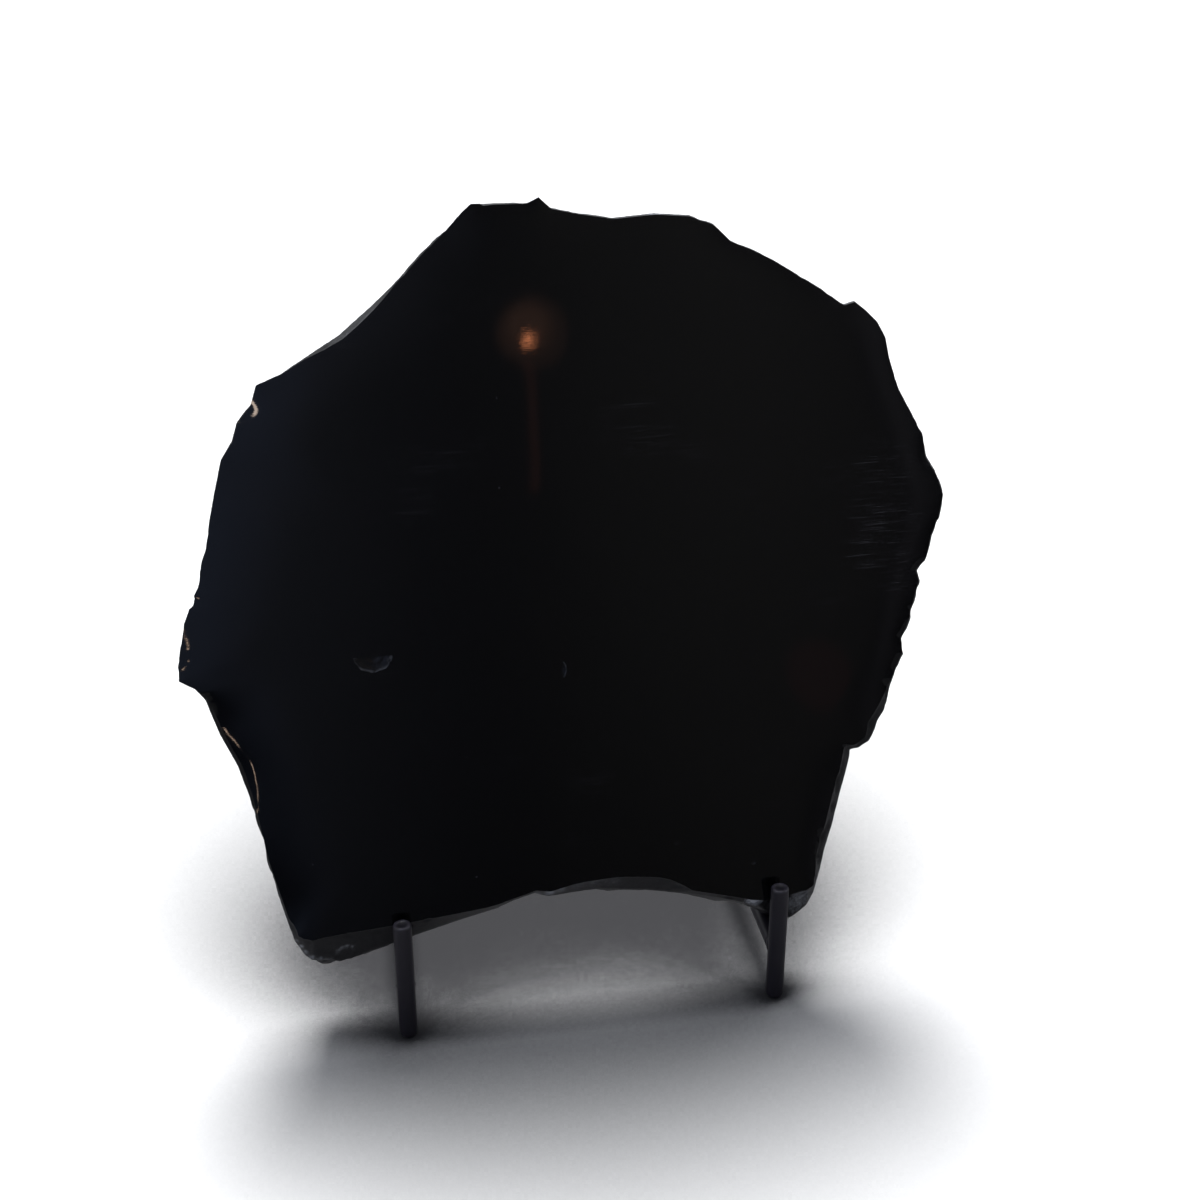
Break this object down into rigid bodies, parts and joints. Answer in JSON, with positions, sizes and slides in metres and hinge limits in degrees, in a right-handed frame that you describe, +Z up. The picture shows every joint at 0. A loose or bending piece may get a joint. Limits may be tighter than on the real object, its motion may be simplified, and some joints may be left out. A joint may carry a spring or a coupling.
{
  "type": "obsidian slab on a rod stand",
  "caption": "Slab of black volcanic glass with a polished face and a broken, scalloped edge, leaning back on a stand of black round rods.",
  "frame": {"origin": "on the surface the stand rests on, under the middle of the whole object's bounding box", "axes": "+Z up, the polished face looks towards -Y and up, +X to the right as seen from the front"},
  "size_m": [0.2672, 0.1108, 0.2692],
  "materials": {
    "volcanic_glass": "black natural glass, polished on the face, broken glossy round the edge, sawn matt on the back",
    "powder_coated_steel": "satin black powder coat on round steel bar"
  },
  "bodies": {
    "root": {"obsidian_slab": "volcanic_glass", "front_peg_left": "powder_coated_steel", "front_peg_right": "powder_coated_steel", "side_rail_left": "powder_coated_steel", "side_rail_right": "powder_coated_steel", "rear_leg_left": "powder_coated_steel", "rear_leg_right": "powder_coated_steel", "rear_crossbar": "powder_coated_steel", "backrest_upright_left": "powder_coated_steel", "backrest_upright_right": "powder_coated_steel", "backrest_bar": "powder_coated_steel"}
  },
  "joints": []
}
